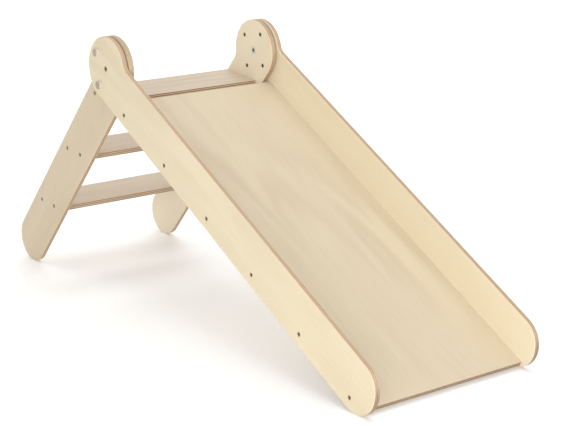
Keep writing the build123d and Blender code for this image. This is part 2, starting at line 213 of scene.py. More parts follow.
class SlideStudio(PropertyGroup):
    """Camera and lights."""

    lens: FloatProperty(
        name="Lens", description="Focal length on a 36 mm sensor", default=103.77, unit="CAMERA"
    )
    azimuth: degrees("Azimuth", "Turn of the camera about the slide", -37.73)
    elevation: degrees("Elevation", "Height of the camera above the horizon", 15.31)
    distance: length("Distance", "Camera to the point it looks at", 3.4405)
    target: FloatVectorProperty(
        name="Target", description="Point that the camera looks at",
        default=(0.0, -0.1153, 0.2427), size=3, unit="LENGTH", subtype="TRANSLATION",
    )
    sky: FloatProperty(name="Sky", description="Strength of the white surround", default=0.62)
    side: watts("Side", "Power of the low left light", 72.0)
    front: watts("Front", "Power of the low front light", 38.0)
    top: watts("Top", "Power of the overhead light", 42.0)
    rear: watts("Rear", "Power of the light behind", 60.0)
    backdrop: watts("Backdrop", "Power of the light on the far floor", 70.0)
    glow: FloatProperty(name="Glow", description="Faint light from the lit floor", default=0.14)


GROUPS = {
    "slide_timber": SlideTimber,
    "slide_hardware": SlideHardware,
    "slide_finish": SlideFinish,
    "slide_studio": SlideStudio,
}


def choices():
    """The user's timber, hardware and finish."""
    scene = bpy.context.scene
    return scene.slide_timber, scene.slide_hardware, scene.slide_finish


# ---- surfaces, in a piece's own axes ----
# A shell holds points, faces of four corners, each point's outward direction and each face's
# skin, which is the number of its material. A triangle repeats its last corner. The own axes
# run along, across and outwards from the upper face, so a point's depth in the plywood is its
# third value with the sign changed.
Shell = namedtuple("Shell", "points faces outward skin")
Place = namedtuple("Place", "origin along across outward")


def lattice(rows, columns):
    """Corners of the quads of a grid of points, whose last row joins the first. Row i and
    column j is point i * columns + j."""
    row = np.arange(rows)[:, None]
    column = np.arange(columns - 1)
    here = (row * columns + column).ravel()
    beside = ((row + 1) % rows * columns + column).ravel()
    return np.stack([here, here + 1, beside + 1, beside], axis=1)


def joined(shells):
    """One shell of several, their corners renumbered."""
    starts = np.cumsum([0] + [len(shell.points) for shell in shells])
    return Shell(
        np.concatenate([shell.points for shell in shells]),
        np.concatenate([shell.faces + start for shell, start in zip(shells, starts)]),
        np.concatenate([shell.outward for shell in shells]),
        np.concatenate([shell.skin for shell in shells]),
    )


def placed(shell, place):
    """A shell taken from its own axes into the frame: origin plus each value times its axis.
    The faces are turned round where the axes are left-handed, so they still face outwards."""
    axes = np.array([place.along, place.across, place.outward])
    faces = shell.faces if np.linalg.det(axes) > 0 else shell.faces[:, ::-1]
    return Shell(place.origin + shell.points @ axes, faces, shell.outward @ axes, shell.skin)


def arc(centre, radius, start, end, hollow=False, step=math.radians(3)):
    """Points and outward directions along part of a circle: centre plus radius times the
    cosine and sine of an angle that runs evenly from start to end. A hollow arc faces in."""
    count = max(2, round(abs(end - start) / step) + 1)
    angle = np.linspace(start, end, count)
    facing = np.stack([np.cos(angle), np.sin(angle)], axis=1)
    return np.array(centre) + radius * facing, -facing if hollow else facing


def panel_outline(timber, reach):
    """Outline of a side panel, counter-clockwise from under the hinge: the straight lower
    edge, a half circle at the foot, the upper edge, a hollow neck tangent to that edge and
    to the head, and the head's circle back to the start."""
    half = timber.band / 2
    middle = half - timber.head
    upper = middle + half
    neck_at = math.sqrt((timber.head + timber.neck) ** 2 - (upper + timber.neck) ** 2)
    leave = math.atan2(upper + timber.neck, neck_at)
    foot = arc((reach, middle), half, -math.pi / 2, math.pi / 2)
    neck = arc((neck_at, upper + timber.neck), timber.neck, -math.pi / 2, leave - math.pi, hollow=True)
    head = arc((0.0, 0.0), timber.head, leave, 1.5 * math.pi)
    points = np.concatenate([foot[0], neck[0], head[0][1:]])
    facing = np.concatenate([foot[1], neck[1], head[1][1:]])
    return points, facing


def round_over(ease, thickness, steps=6):
    """Rim profile from the upper face to the lower one, as inset, depth and direction: a
    quarter circle of radius ease, the straight wall, and a second quarter circle."""
    angle = np.linspace(0.0, math.pi / 2, steps + 1)
    inset = ease * (1 - np.sin(angle))
    depth = ease * (1 - np.cos(angle))
    inset = np.concatenate([inset, inset[::-1]])
    depth = np.concatenate([depth, thickness - depth[::-1]])
    side = np.concatenate([np.sin(angle), np.sin(angle[::-1])])
    rise = np.concatenate([np.cos(angle), -np.cos(angle[::-1])])
    return inset, depth, side, rise


def rim(points, facing, profile):
    """A profile carried along an outline: the outline's point less its outward direction
    times the inset, at the profile's depth."""
    inset, depth, side, rise = profile
    flat = points[:, None, :] - facing[:, None, :] * inset[:, None]
    down = np.broadcast_to(-depth, flat.shape[:2])[..., None]
    lean = facing[:, None, :] * side[:, None]
    lift = np.broadcast_to(rise, flat.shape[:2])[..., None]
    grid = np.concatenate([flat, down], axis=2).reshape(-1, 3)
    outward = np.concatenate([lean, lift], axis=2).reshape(-1, 3)
    faces = lattice(len(points), len(inset))
    return Shell(grid, faces, outward, np.zeros(len(faces), int))


def ring(centre, radius, sides):
    """Evenly spaced points on a circle, counter-clockwise."""
    angle = np.arange(sides) / sides * math.tau
    return np.array(centre) + radius * np.stack([np.cos(angle), np.sin(angle)], axis=1)


def flat_face(boundary, holes, height, upward):
    """Level face between a boundary and the rims of its holes, cut into triangles."""
    loops = [boundary, *holes]
    starts = np.cumsum([0] + [len(loop) for loop in loops])
    edges = [
        np.stack([np.arange(len(loop)), (np.arange(len(loop)) + 1) % len(loop)], axis=1) + start
        for loop, start in zip(loops, starts)
    ]
    points = np.concatenate(loops)
    inside_with_holes, merge_distance = 2, 1e-9
    _, _, triangles, sources, _, _ = delaunay_2d_cdt(
        points.tolist(), np.concatenate(edges).tolist(), [list(range(len(boundary)))],
        inside_with_holes, merge_distance,
    )
    source = np.array([given[0] for given in sources])
    corners = source[np.array(triangles)]
    faces = corners[:, [0, 1, 2, 2]] if upward else corners[:, [2, 1, 0, 0]]
    solid = np.column_stack([points, np.full(len(points), height)])
    outward = np.tile((0.0, 0.0, 1.0 if upward else -1.0), (len(points), 1))
    return Shell(solid, faces, outward, np.zeros(len(faces), int))


def turned(profile, sides, hollow=False, hexagons=(), skins=None, turn=0.0):
    """Surface of revolution from a profile of radius and height, read from the upper axis
    outwards and down: the point at angle a is radius times cosine and sine of a, at the
    height. Rings listed in hexagons follow a hexagon, whose radius is the flat's distance
    over the cosine of the angle from the nearest flat's middle. Hollow faces the axis."""
    profile = np.array(profile, float)
    angle = np.arange(sides) / sides * math.tau
    from_flat = (angle + math.pi / 6) % (math.pi / 3) - math.pi / 6
    stretch = np.ones((sides, len(profile)))
    stretch[:, list(hexagons)] = 1 / np.cos(from_flat)[:, None]
    radius = profile[:, 0] * stretch
    round_at = np.stack([np.cos(angle + turn), np.sin(angle + turn)], axis=1)
    flat = round_at[:, None, :] * radius[..., None]
    height = np.broadcast_to(profile[:, 1], radius.shape)[..., None]
    points = np.concatenate([flat, height], axis=2).reshape(-1, 3)
    faces = lattice(sides, len(profile))
    step = np.gradient(profile, axis=0)
    step /= np.maximum(np.linalg.norm(step, axis=1, keepdims=True), 1e-12)
    side = np.broadcast_to(-step[:, 1], radius.shape)[..., None]
    rise = np.broadcast_to(step[:, 0], radius.shape)[..., None]
    outward = np.concatenate([round_at[:, None, :] * side, rise], axis=2).reshape(-1, 3)
    skin = np.zeros(len(profile) - 1, int) if skins is None else np.array(skins)
    skin = np.tile(skin, sides)
    if hollow:
        return Shell(points, faces[:, ::-1], -outward, skin)
    return Shell(points, faces, outward, skin)


def moved(shell, centre):
    """A shell shifted in its own along and across directions."""
    return shell._replace(points=shell.points + np.array([*centre, 0.0]))


def side_panel(timber, reach, bores, facets):
    """A plywood side panel: two flat faces, the eased rim between them, and the bores. A
    bore is a centre and a profile of radius and height from the upper face to the lower."""
    points, facing = panel_outline(timber, reach)
    border = points - facing * timber.edge_ease
    upper = [ring(centre, profile[0][0], facets) for centre, profile in bores]
    lower = [ring(centre, profile[-1][0], facets) for centre, profile in bores]
    shells = [
        flat_face(border, upper, 0.0, True),
        flat_face(border, lower, -timber.ply, False),
        rim(points, facing, round_over(timber.edge_ease, timber.ply)),
    ]
    shells += [moved(turned(profile, facets, hollow=True), centre) for centre, profile in bores]
    return joined(shells)


def eased_strip(run, width, thickness, ease):
    """A strip of plywood whose edges at both ends of its run are eased: a rounded rectangle
    in run and depth, carried straight across the width. Its two cut sides are flat."""
    corner = arc((run / 2 - ease, -ease), ease, 0.0, math.pi / 2, step=math.radians(15))
    corners, directions = [], []
    for forward, up in ((1, 1), (-1, 1), (-1, -1), (1, -1)):
        mirrored = corner[0] * (forward, up) - (0, 0 if up > 0 else thickness)
        corners.append(mirrored[:: forward * up])
        directions.append((corner[1] * (forward, up))[:: forward * up])
    outline = np.concatenate(corners)
    facing = np.concatenate(directions)
    count = len(outline)
    grid = np.empty((count, 2, 3))
    grid[..., 0] = outline[:, None, 0]
    grid[..., 1] = (width / 2, -width / 2)
    grid[..., 2] = outline[:, None, 1]
    outward = np.zeros((count, 2, 3))
    outward[..., 0] = facing[:, None, 0]
    outward[..., 2] = facing[:, None, 1]
    faces = lattice(count, 2)
    band = Shell(grid.reshape(-1, 3), faces[:, ::-1], outward.reshape(-1, 3), np.zeros(len(faces), int))
    return joined([band, cut_side(outline, width / 2, 1.0), cut_side(outline, -width / 2, -1.0)])


def cut_side(outline, across, direction):
    """Flat side of a strip: triangles from the middle to each stretch of its outline."""
    count = len(outline)
    points = np.zeros((count + 1, 3))
    points[:count, [0, 2]] = outline
    points[count, [0, 2]] = outline.mean(axis=0)
    points[:, 1] = across
    first = np.arange(count)
    after = (first + 1) % count
    middle = np.full(count, count)
    order = [middle, after, first, first] if direction > 0 else [middle, first, after, after]
    outward = np.tile((0.0, direction, 0.0), (count + 1, 1))
    return Shell(points, np.stack(order, axis=1), outward, np.zeros(count, int))


# ---- from surfaces to pieces ----
CREASE = math.radians(32)  # edges that turn by more than this stay crisp


def welded(shell):
    """Points within a micrometre become one, and a face drops corners that fall together."""
    _, first, number = np.unique(
        np.round(shell.points * 1e6).astype(np.int64), axis=0, return_index=True, return_inverse=True
    )
    faces = number.ravel()[shell.faces]
    kept = faces != np.roll(faces, 1, axis=1)
    real = kept.sum(axis=1) > 2
    return first, faces[real], kept[real], shell.skin[real]


def make_piece(name, shell, materials, grain=None, number=0.0, painted_light=0.0):
    """A mesh object from a shell, smooth but for its sharp edges. Grain gives each point's
    place along, across and into the plywood, for the wood's pattern. Number sets one panel's
    pattern apart from the next, and the last argument is how much painted light pales its wood."""
    first, faces, kept, skin = welded(shell)
    mesh = bpy.data.meshes.new(name)
    mesh.vertices.add(len(first))
    mesh.vertices.foreach_set("co", shell.points[first].astype(np.float32).ravel())
    corners = kept.sum(axis=1)
    mesh.loops.add(int(corners.sum()))
    mesh.loops.foreach_set("vertex_index", faces[kept].astype(np.int32))
    mesh.polygons.add(len(faces))
    mesh.polygons.foreach_set("loop_start", (np.cumsum(corners) - corners).astype(np.int32))
    for material in materials:
        mesh.materials.append(material)
    mesh.polygons.foreach_set("material_index", skin.astype(np.int32))
    mesh.polygons.foreach_set("use_smooth", np.ones(len(faces), bool))
    mesh.update(calc_edges=True)
    if grain is not None:
        place, cut = grain
        write_attribute(mesh, "panel_place", "FLOAT_VECTOR", "vector", place[first])
        write_attribute(mesh, "cut_face", "FLOAT_VECTOR", "vector", cut[first])
        write_attribute(mesh, "piece_number", "FLOAT", "value", np.full(len(first), number))
        write_attribute(mesh, "veneer_paleness", "FLOAT", "value", np.full(len(first), painted_light))
    if mesh.validate():
        raise RuntimeError(name + " has faulty faces")
    mesh.set_sharp_from_angle(angle=CREASE)
    piece = bpy.data.objects.new(name, mesh)
    bpy.context.scene.collection.objects.link(piece)
    shading = piece.modifiers.new("Weighted normals", "WEIGHTED_NORMAL")
    shading.keep_sharp = True
    return piece


def write_attribute(mesh, name, kind, field, values):
    """Stores one value for each point of a mesh."""
    layer = mesh.attributes.new(name, kind, "POINT")
    layer.data.foreach_set(field, np.asarray(values, np.float32).ravel())


def settle(piece, body, node):
    """Makes a piece ride on its body and lets it stand for the packed node."""
    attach(piece, body)
    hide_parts(node)


# ---- places, worked out from the frame ----
def unit(vector):
    """A vector at length one."""
    return np.array(vector, float) / np.linalg.norm(vector)


def panel_axes(foot, turn, timber):
    """Length of a side panel and its directions along and above, from the middle of its
    round foot. The foot is reach from the hinge, and the panel's middle line passes beside
    the hinge, so reach is the length along plus that offset above. Turn is 1 where above
    lies a quarter turn counter-clockwise from along, and -1 where it lies clockwise."""
    offset = timber.band / 2 - timber.head
    reach = foot - HINGE[1:]
    run = math.sqrt(reach @ reach - offset**2)
    beside = np.array([-reach[1], reach[0]])
    along = (run * reach - offset * turn * beside) / (reach @ reach)
    above = turn * np.array([-along[1], along[0]])
    return run, np.array([0.0, *along]), np.array([0.0, *above])


def rail_axes(timber):
    """Length and directions of a rail, whose foot rests on the floor at the front."""
    half = timber.band / 2
    return panel_axes(np.array([RAIL_LOW[1] + half, half]), -1.0, timber)


def leg_axes(timber):
    """Length and directions of a leg, whose foot rests on the floor at the back."""
    half = timber.band / 2
    return panel_axes(np.array([LEG_HIGH[1] - half, half]), 1.0, timber)


def row_of_heads(side, row, hardware):
    """Middles of a row of round heads that face sideways. The first lies at the high end of
    the node's box, one radius in, the last at the low end, and they are evenly spaced."""
    low, high = node_box(side + "_" + row)
    first, last = high[1:] - hardware.head, low[1:] + hardware.head
    share = np.linspace(0.0, 1.0, SCREW_ROWS[row].count)[:, None]
    return first + (last - first) * share


def fixing_spots(hardware, timber, front):
    """Middles of a head's two rear fixings, and of the two front ones before them where
    front is set, on their circle about the hinge."""
    _, along, above = leg_axes(timber)
    near = hardware.fixing_axis + hardware.fixing_spread
    far = hardware.fixing_axis - hardware.fixing_spread
    angles = ([near, far - math.pi] if front else []) + [far, near - math.pi]
    angles = np.array(angles)[:, None]
    across = np.cos(angles) * along[1:] + np.sin(angles) * above[1:]
    return HINGE[1:] + hardware.fixing_circle * across


def in_panel(spots, axes):
    """Spots of the frame's Y and Z, given along and above a panel from the hinge."""
    _, along, above = axes
    away = np.asarray(spots) - HINGE[1:]
    return np.stack([away @ along[1:], away @ above[1:]], axis=1)


# ---- materials ----
class Recipe:
    """The nodes of one material, added from left to right."""

    def __init__(self, name):
        self.material = bpy.data.materials.new(name)
        self.material.use_nodes = True
        self.nodes = self.material.node_tree.nodes
        self.links = self.material.node_tree.links
        self.shader = self.nodes["Principled BSDF"]

    def feed(self, socket, value):
        """Joins a socket to another node, or sets its plain value."""
        if isinstance(value, bpy.types.NodeSocket):
            self.links.new(value, socket)
        elif hasattr(value, "__len__") and len(value) == 3 and len(socket.default_value) == 4:
            socket.default_value = (*value, 1.0)
        else:
            socket.default_value = value

    def add(self, kind, sockets, **settings):
        """One node, its settings and the values of its sockets."""
        node = self.nodes.new("ShaderNode" + kind)
        for setting, value in settings.items():
            setattr(node, setting, value)
        for socket, value in sockets.items():
            self.feed(node.inputs[socket], value)
        return node

    def attribute(self, name, output="Vector"):
        """A stored value of the mesh."""
        return self.add("Attribute", {}, attribute_name=name).outputs[output]

    def object_place(self):
        """A point's place in its object's own axes."""
        return self.add("TexCoord", {}).outputs["Object"]

    def math(self, operation, *values):
        """One step of arithmetic."""
        sockets = dict(enumerate(values))
        return self.add("Math", sockets, operation=operation).outputs[0]

    def off_middle(self, value, gain, base):
        """The base plus gain times how far a value from 0 to 1 lies from one half."""
        return self.math("MULTIPLY_ADD", self.math("SUBTRACT", value, 0.5), gain, base)

    def noise(self, place, scales, seed, detail=2.0, roughness=0.5):
        """Soft noise from 0 to 1, scaled alike or along each axis, and shifted by a seed."""
        scales = (scales,) * 3 if isinstance(scales, float) else scales
        scaled = self.add("VectorMath", {0: place, 1: scales}, operation="MULTIPLY").outputs[0]
        sockets = {"Vector": scaled, "W": seed, "Scale": 1.0, "Detail": detail, "Roughness": roughness}
        return self.add("TexNoise", sockets, noise_dimensions="4D").outputs["Fac"]

    def between(self, value, low, high):
        """0 below low, 1 above high, and a smooth rise between."""
        sockets = {"Value": value, "From Min": low, "From Max": high}
        return self.add("MapRange", sockets, interpolation_type="SMOOTHSTEP").outputs["Result"]

    def mix(self, factor, first, second):
        """A colour between two. The node's colour sockets follow its plain and vector ones."""
        return self.add("Mix", {0: factor, 6: first, 7: second}, data_type="RGBA").outputs[2]

    def finish(self, colour, roughness, height, relief, **constants):
        """Joins the pattern to the shader. Relief is the bump's height in metres."""
        self.feed(self.shader.inputs["Base Color"], colour)
        self.feed(self.shader.inputs["Roughness"], roughness)
        bump = self.add("Bump", {"Height": height, "Distance": relief, "Strength": 1.0})
        self.feed(self.shader.inputs["Normal"], bump.outputs["Normal"])
        for socket, value in constants.items():
            self.shader.inputs[socket.replace("_", " ")].default_value = value
        return self.material


# How a kind of panel was sawn and used: how much painted shade darkens, or below zero painted
# light pales, its edges at the ends and along the sides, whether the second, fourth and sixth
# plies are the dark ones at its ends instead of the others, and how much its gloss is scuffed in long
# streaks.
Sheet = namedtuple("Sheet", "toasted_ends toasted_sides core_ends scuffed")
SHEETS = {
    "rail": Sheet(0.25, 0.0, True, 0.0),
    "leg": Sheet(-0.15, 0.10, True, 0.0),
    "board": Sheet(0.24, 0.24, False, 0.12),
    "tread": Sheet(0.22, 0.05, False, 0.0),
}


def veneer_face(wood, place, seed, pale, deep, finish):
    """Face of a sheet: a soft wavy figure that comes and goes, fine fibres, a slow mottle and
    short pores. Gives the colour, the fibres and the pores."""
    swell = wood.noise(place, (0.9, 6.5, 6.5), seed, 2.0, 0.45)
    figure = wood.math("SINE", wood.math("MULTIPLY", swell, 62.0))
    fading = wood.noise(place, (2.0, 5.0, 5.0), seed, 1.0)
    figure = wood.math("MULTIPLY", figure, wood.between(fading, 0.35, 0.7))
    fibre = wood.noise(place, (14.0, 900.0, 900.0), seed, 3.0, 0.6)
    cloud = wood.noise(place, (5.0, 11.0, 11.0), seed)
    pore = wood.between(wood.noise(place, (190.0, 2600.0, 2600.0), seed, 1.0), 0.64, 0.72)
    tone = wood.math("MULTIPLY_ADD", figure, 0.24, 0.45)
    tone = wood.off_middle(fibre, 1.00, tone)
    tone = wood.off_middle(cloud, 0.36, tone)
    colour = wood.mix(wood.between(tone, 0.0, 1.0), pale, deep)
    # Painted light: the right rail and the right leg are paled towards the palest veneer tone.
    colour = wood.mix(wood.attribute("veneer_paleness", "Fac"), colour, finish.veneer)
    return wood.mix(wood.math("MULTIPLY", pore, 0.34), colour, finish.pore), fibre, pore


def plies(wood, place, seed, timber):
    """Number of the ply that a point lies in, from 0 at the upper face to 6 at the lower, and
    its place among the five core plies, both after a slight waver."""
    depth = wood.add("SeparateXYZ", {0: place}).outputs[2]
    depth = wood.off_middle(wood.noise(place, 22.0, seed, 1.0), 0.0005, depth)
    core = (timber.ply - 2 * timber.face_veneer) / 5
    layer = wood.math("DIVIDE", wood.math("SUBTRACT", depth, timber.face_veneer), core)
    index = wood.math("MINIMUM", wood.math("MAXIMUM", wood.math("CEIL", layer), 0.0), 6.0)
    return index, layer


def sawn_edge(wood, place, seed, ends, sides, crossed, layer, sheet, finish):
    """Sawn edge: plies cut along their grain are light and those cut across it dark, with
    speckle, streaks and thin glue lines. Gives the colour and the speckle."""
    dark_at_end = crossed if sheet.core_ends else wood.math("SUBTRACT", 1.0, crossed)
    # Painted shade: each kind's end and side shading darkens its sawn edges, and where it is below zero it
    # is painted light that pales them.
    at_end = wood.math("MULTIPLY_ADD", dark_at_end, 0.66, 0.20 + sheet.toasted_ends)
    at_side = wood.math("MULTIPLY_ADD", dark_at_end, -0.50, 0.62 + sheet.toasted_sides)
    tone = wood.math("MULTIPLY", sides, at_side)
    tone = wood.math("MULTIPLY_ADD", wood.math("MULTIPLY", ends, ends), at_end, tone)
    speckle = wood.noise(place, 1300.0, seed, 2.0, 0.6)
    streak = wood.noise(place, (60.0, 60.0, 2500.0), seed, 2.0, 0.6)
    tone = wood.off_middle(speckle, 0.5, tone)
    tone = wood.off_middle(streak, 0.4, tone)
    colour = wood.mix(wood.between(tone, -0.1, 0.9), finish.edge_long, finish.edge_end)
    seam = wood.math("ABSOLUTE", wood.math("SUBTRACT", wood.math("FRACT", layer), 0.5))
    glue = wood.between(seam, 0.44, 0.49)
    return wood.mix(wood.math("MULTIPLY", glue, 0.45), colour, finish.glue), speckle


def birch_ply(kind, finish, timber):
    """Clear-lacquered birch plywood of seven plies. The cut face's direction tells a sheet's
    face from its ends and its sides, and a painted highlight of its lightest wood runs along its eased
    edges."""
    name = "birch_" + kind
    if name in bpy.data.materials:
        return bpy.data.materials[name]
    sheet = SHEETS[kind]
    pale, deep = getattr(finish, kind + "_pale"), getattr(finish, kind + "_deep")
    wood = Recipe(name)
    place = wood.attribute("panel_place")
    seed = wood.math("MULTIPLY", wood.attribute("piece_number", "Fac"), 5.3)
    face, fibre, pore = veneer_face(wood, place, seed, pale, deep, finish)

    cut = wood.add("SeparateXYZ", {0: wood.attribute("cut_face")})
    ends = wood.math("MULTIPLY", cut.outputs[0], cut.outputs[0])
    sides = wood.math("MULTIPLY", cut.outputs[1], cut.outputs[1])
    index, layer = plies(wood, place, seed, timber)
    crossed = wood.math("MODULO", index, 2.0)
    edge, speckle = sawn_edge(wood, place, seed, ends, sides, crossed, layer, sheet, finish)

    rimward = wood.math("ADD", ends, sides)
    outermost = wood.math("GREATER_THAN", wood.math("ABSOLUTE", wood.math("SUBTRACT", index, 3.0)), 2.5)
    on_edge = wood.between(rimward, 0.12, 0.75)
    on_edge = wood.math("MULTIPLY", on_edge, wood.math("MULTIPLY_ADD", outermost, -0.25, 1.0))
    colour = wood.mix(on_edge, face, edge)
    # Painted highlight: the lightest wood is mixed in along the middle of the eased edges.
    arris = wood.math("MULTIPLY", rimward, wood.math("SUBTRACT", 1.0, rimward))
    colour = wood.mix(wood.math("MULTIPLY", arris, 0.5), colour, pale)

    scuff = wood.between(wood.noise(place, (1.6, 240.0, 240.0), seed), 0.60, 0.72)
    gloss = wood.math("MULTIPLY_ADD", fibre, 0.14, 0.34)
    gloss = wood.math("MULTIPLY_ADD", scuff, sheet.scuffed, gloss)
    gloss = wood.math("MULTIPLY_ADD", on_edge, 0.16, gloss)
    height = wood.math("MULTIPLY_ADD", pore, -0.8, wood.math("MULTIPLY", fibre, 0.5))
    ragged = wood.math("MULTIPLY", wood.math("MULTIPLY_ADD", crossed, -0.7, speckle), on_edge)
    height = wood.math("ADD", height, ragged)
    return wood.finish(
        colour, gloss, height, 0.00005, Coat_Weight=0.18, Coat_Roughness=0.22, Specular_IOR_Level=0.45
    )


def metal(name, light, dark, roughness, metallic):
    """Plated or blackened steel, with dull patches and a fine grit."""
    if name in bpy.data.materials:
        return bpy.data.materials[name]
    steel = Recipe(name)
    place = steel.object_place()
    patch = steel.noise(place, 210.0, 1.0, 3.0, 0.6)
    grit = steel.noise(place, 3780.0, 2.0, 2.0, 0.6)
    colour = steel.mix(steel.between(steel.off_middle(grit, 0.5, patch), 0.3, 0.7), light, dark)
    gloss = steel.math("MULTIPLY_ADD", patch, 0.2, roughness)
    return steel.finish(colour, gloss, grit, 0.00002, Metallic=metallic)


def plastic(name, light, dark, roughness):
    """Moulded plastic with a fine matt grain and faint flow clouds."""
    if name in bpy.data.materials:
        return bpy.data.materials[name]
    resin = Recipe(name)
    place = resin.object_place()
    flow = resin.noise(place, 130.0, 3.0)
    grain = resin.noise(place, 3200.0, 4.0)
    colour = resin.mix(resin.between(resin.off_middle(grain, 0.6, flow), 0.2, 0.8), light, dark)
    gloss = resin.math("MULTIPLY_ADD", grain, 0.18, roughness)
    return resin.finish(colour, gloss, grain, 0.00003)


def darker(colour, share):
    """A colour scaled towards black."""
    return tuple(channel * share for channel in colour)


def blackened_steel(finish):
    return metal("blackened_steel", finish.blackened, darker(finish.blackened, 0.6), 0.30, 0.3)


def bronzed_steel(finish):
    return metal("bronzed_steel", finish.bronzed, darker(finish.bronzed, 0.7), 0.38, 0.5)


# Painted shade: the sockets' near-black colour stands in for the shade in the recess.
def socket_steel(finish):
    return metal("socket_steel", finish.socket, darker(finish.socket, 0.7), 0.42, 0.4)


def zinc_steel(finish):
    return metal("zinc_steel", finish.zinc, finish.zinc_dull, 0.40, 0.7)


def dull_zinc_steel(finish):
    return metal("dull_zinc_steel", finish.zinc_dull, darker(finish.zinc_dull, 0.7), 0.50, 0.5)


# Painted light and shade: the side's light tone and the face's dark tone stand for how the light falls on
# the cap.
def painted_light_cap_wall(finish):
    return plastic("cap_side", finish.cap_side, darker(finish.cap_side, 0.85), 0.38)


def painted_shade_cap_top(finish):
    return plastic("cap_face", finish.cap_face, darker(finish.cap_face, 0.8), 0.42)


# ---- pieces of plywood ----
def through_bore(mouth, depth, shaft, ply, arris):
    """A screw's hole from the upper face: a bevelled mouth, the seat's wall and floor, and
    the shaft down to the lower face."""
    return [(mouth + arris, 0.0), (mouth, -arris), (mouth, -depth), (shaft, -depth), (shaft, -ply)]


def plain_bore(radius, ply):
    """A hole of one width."""
    return [(radius, 0.0), (radius, -ply)]


def upturned(profile, ply):
    """A bore's profile that opens at the lower face instead of the upper one."""
    return [(radius, -ply - height) for radius, height in reversed(profile)]


def screw_seat(timber, hardware, shaft):
    """The hole that takes a flat screw head."""
    depth = hardware.sink + hardware.head_height
    return through_bore(hardware.head + hardware.play, depth, shaft, timber.ply, timber.arris)


def bored(spots, profile, axes):
    """One bore of a side panel at each of the frame's spots."""
    return [(spot, profile) for spot in in_panel(spots, axes)]


def make_panel(node, kind, body, shell, place, order=(0, 1, 2)):
    """The plywood piece of a packed node. Order lists the shell's own axes that run along
    the face's fibres, across them and outwards."""
    timber, _, finish = choices()
    order = list(order)
    grain = (shell.points[:, order] * (1.0, 1.0, -1.0), shell.outward[:, order])
    number = PANELS.index(node) + 1.0
    # Painted light: how far this panel is paled, set only for the right rail and the right leg.
    painted_light = getattr(finish, node, 0.0)
    wood = birch_ply(kind, finish, timber)
    piece = make_piece(node + "_panel", placed(shell, place), [wood], grain, number, painted_light)
    settle(piece, body, node)


def make_side_panels(part, body, panel, bores):
    """Both rails or both legs, drilled alike, with their upper faces outwards."""
    timber, hardware, _ = choices()
    reach, along, above = panel
    shell = side_panel(timber, reach, bores, hardware.facets)
    for side, direction in SIDES.items():
        low, high = node_box(side + "_" + part)
        origin = np.array([low[0] if direction < 0 else high[0], *HINGE[1:]])
        outward = np.array([direction, 0.0, 0.0])
        make_panel(side + "_" + part, part, body, shell, Place(origin, along, above, outward))


class SLIDE_OT_rails(Operator):
    """Two long side rails with round heads and round lower ends"""

    bl_idname = "slide.rails"
    bl_label = "Side rails"

    def execute(self, context):
        timber, hardware, _ = choices()
        axes = rail_axes(timber)
        bolt_depth = hardware.sink + hardware.bolt_head_height
        bolt_mouth = hardware.bolt_head + hardware.play
        pivot = through_bore(bolt_mouth, bolt_depth, hardware.bolt, timber.ply, timber.arris)
        stud = plain_bore(hardware.stud, timber.ply)
        seat = screw_seat(timber, hardware, hardware.shank)
        bores = [((0.0, 0.0), pivot)]
        bores += bored(fixing_spots(hardware, timber, False), stud, axes)
        bores += bored(row_of_heads("left", "board_screws", hardware), seat, axes)
        make_side_panels("rail", "slide", axes, bores)
        return {"FINISHED"}


class SLIDE_OT_legs(Operator):
    """Two ladder legs with round heads and round feet"""

    bl_idname = "slide.legs"
    bl_label = "Ladder legs"

    def execute(self, context):
        timber, hardware, _ = choices()
        axes = leg_axes(timber)
        flange_mouth = hardware.flange + hardware.play
        flange_depth = hardware.flange_height + hardware.flange_seat
        flange = through_bore(flange_mouth, flange_depth, hardware.sleeve, timber.ply, timber.arris)
        inner_seat = upturned(screw_seat(timber, hardware, hardware.plate_shank), timber.ply)
        seat = screw_seat(timber, hardware, hardware.shank)
        bores = [((0.0, 0.0), upturned(flange, timber.ply))]
        bores += bored(fixing_spots(hardware, timber, True), inner_seat, axes)
        for tread in TREADS:
            bores += bored(row_of_heads("left", tread + "_screws", hardware), seat, axes)
        make_side_panels("leg", "ladder", axes, bores)
        return {"FINISHED"}


class SLIDE_OT_board(Operator):
    """The slide board between the rails"""

    bl_idname = "slide.board"
    bl_label = "Slide board"

    def execute(self, context):
        timber, _, _ = choices()
        low, high = node_box("slide_board")
        outward = unit(mount_axis("slide_surface"))
        along = np.cross(outward, (-1.0, 0.0, 0.0))
        run = (high[1] - low[1] - timber.ply * abs(along[2])) / abs(along[1])
        shell = eased_strip(run, high[0] - low[0], timber.ply, timber.tread_ease)
        origin = (low + high) / 2 + outward * timber.ply / 2
        place = Place(origin, along, np.cross(outward, along), outward)
        make_panel("slide_board", "board", "slide", shell, place)
        return {"FINISHED"}


class SLIDE_OT_treads(Operator):
    """The platform and the two steps between the legs"""

    bl_idname = "slide.treads"
    bl_label = "Platform and steps"

    def execute(self, context):
        timber, _, _ = choices()
        outward = unit(mount_axis("platform_top"))
        backward = np.cross(outward, (1.0, 0.0, 0.0))
        for tread in TREADS:
            low, high = node_box(tread)
            shell = eased_strip(timber.band, high[0] - low[0], timber.ply, timber.tread_ease)
            origin = (low + high) / 2 + outward * timber.ply / 2
            place = Place(origin, backward, np.cross(outward, backward), outward)
            make_panel(tread, "tread", "ladder", shell, place, (1, 0, 2))
        return {"FINISHED"}


# ---- fasteners ----
def sideways(spots, x, direction):
    """Places on an upright face across X, their outward direction towards direction."""
    return [
        Place(
            np.array([x, spot[0], spot[1]]), np.array([0.0, 1.0, 0.0]),
            np.array([0.0, 0.0, 1.0]), np.array([direction, 0.0, 0.0]),
        )
        for spot in spots
    ]


def at_places(shells, places):
    """Shells set at places, as one shell."""
    return joined([placed(shell, place) for shell, place in zip(shells, places)])


SOCKET_TURN = 2.4  # from one screw's socket to the next, so that they don't line up


